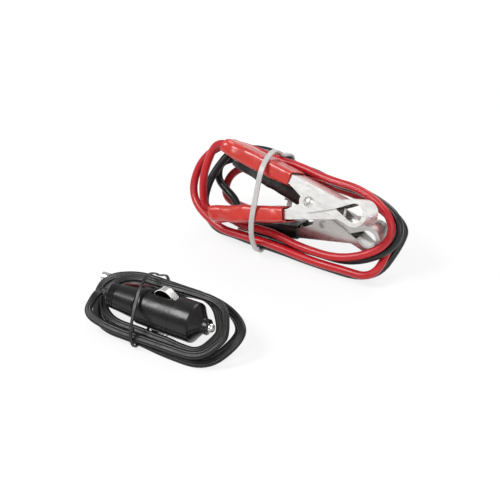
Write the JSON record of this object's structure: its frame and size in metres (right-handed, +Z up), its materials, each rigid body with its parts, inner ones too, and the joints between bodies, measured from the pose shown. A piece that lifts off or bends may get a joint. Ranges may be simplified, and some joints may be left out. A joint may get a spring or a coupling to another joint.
{
  "type": "battery charger lead set",
  "caption": "Bound hank of red and black leads with spring battery clips, and a bound hank of black cord with a lighter plug.",
  "frame": {"origin": "point of the resting plane under the middle of the two hanks' box", "axes": "+X along both hanks, towards the clips' jaws and the plug's tip; +Z up"},
  "size_m": [0.1348, 0.1504, 0.0592],
  "materials": {
    "steel_plate": "nickel-plated, satin",
    "rivet_steel": "plated",
    "spring_steel": "plated wire",
    "red_vinyl": "soft glossy",
    "black_vinyl": "soft glossy",
    "red_insulation": "satin",
    "black_insulation": "satin",
    "copper": "bare strands",
    "tin_plate": "tinned",
    "clear_nylon": "translucent",
    "plug_plastic": "semi-matte",
    "contact_nickel": "bright",
    "fuse_glass": "clear",
    "cord_black": "matte",
    "tie_black": "matte",
    "connector_red": "dark"
  },
  "bodies": {
    "root": {"red_clip_outer_jaw": "steel_plate", "red_clip_outer_sleeve": "red_vinyl", "red_clip_rivet": "rivet_steel", "red_clip_spring": "spring_steel", "red_lead": "red_insulation", "red_lead_conductor": "copper", "red_terminal_sleeve": "red_vinyl", "red_terminal_pin": "tin_plate", "black_clip_outer_jaw": "steel_plate", "black_clip_outer_sleeve": "black_vinyl", "black_clip_rivet": "rivet_steel", "black_clip_spring": "spring_steel", "black_lead": "black_insulation", "black_lead_conductor": "copper", "black_terminal_sleeve": "black_vinyl", "black_terminal_pin": "tin_plate", "clamp_hank_tie": "clear_nylon", "plug_barrel": "plug_plastic", "plug_rear_grip": "plug_plastic", "plug_nose_cap": "plug_plastic", "plug_pin_spring": "spring_steel", "plug_contact_carrier": "plug_plastic", "plug_rear_terminal": "tin_plate", "plug_strain_relief": "cord_black", "plug_cord": "cord_black", "plug_live_core": "red_insulation", "plug_return_core": "black_insulation", "plug_hank_tie": "tie_black", "connector_body": "connector_red", "connector_shell": "contact_nickel", "connector_insulator": "black_insulation"},
    "red_inner_half": {"red_clip_inner_jaw": "steel_plate", "red_clip_inner_sleeve": "red_vinyl"},
    "black_inner_half": {"black_clip_inner_jaw": "steel_plate", "black_clip_inner_sleeve": "black_vinyl"},
    "tip": {"plug_centre_pin": "contact_nickel", "plug_fuse_tube": "fuse_glass", "plug_fuse_caps": "contact_nickel"},
    "upper_contact": {"plug_upper_contact": "contact_nickel"},
    "lower_contact": {"plug_lower_contact": "contact_nickel"}
  },
  "joints": [
    {"name": "red_clip_hinge", "type": "hinge", "parent": "root", "child": "red_inner_half", "pos_m": [0.02139, 0.03614, 0.04057], "axis": [0.0715, 0.8691, -0.4894], "range_deg": [0, 20], "stiffness_Nm_per_rad": 0.5, "springref_deg": -20.05},
    {"name": "black_clip_hinge", "type": "hinge", "parent": "root", "child": "black_inner_half", "pos_m": [0.0215, 0.05222, 0.01994], "axis": [0, -0.9748, 0.2233], "range_deg": [0, 4.8], "stiffness_Nm_per_rad": 0.5, "springref_deg": -20.05},
    {"name": "tip_slide", "type": "slide", "parent": "root", "child": "tip", "axis": [-1, 0, 0], "range_m": [0, 0.0026], "stiffness_N_per_m": 900, "springref_m": -0.002, "deforming": ["plug_pin_spring"]},
    {"name": "upper_contact_hinge", "type": "hinge", "parent": "root", "child": "upper_contact", "pos_m": [-0.0059, -0.05458, 0.02328], "axis": [0, -0.9781, 0.2079], "range_deg": [0, 9], "stiffness_Nm_per_rad": 0.06, "springref_deg": -5.73},
    {"name": "lower_contact_hinge", "type": "hinge", "parent": "root", "child": "lower_contact", "pos_m": [-0.0059, -0.05782, 0.00802], "axis": [0, 0.9781, -0.2079], "range_deg": [0, 9], "stiffness_Nm_per_rad": 0.06, "springref_deg": -5.73}
  ]
}
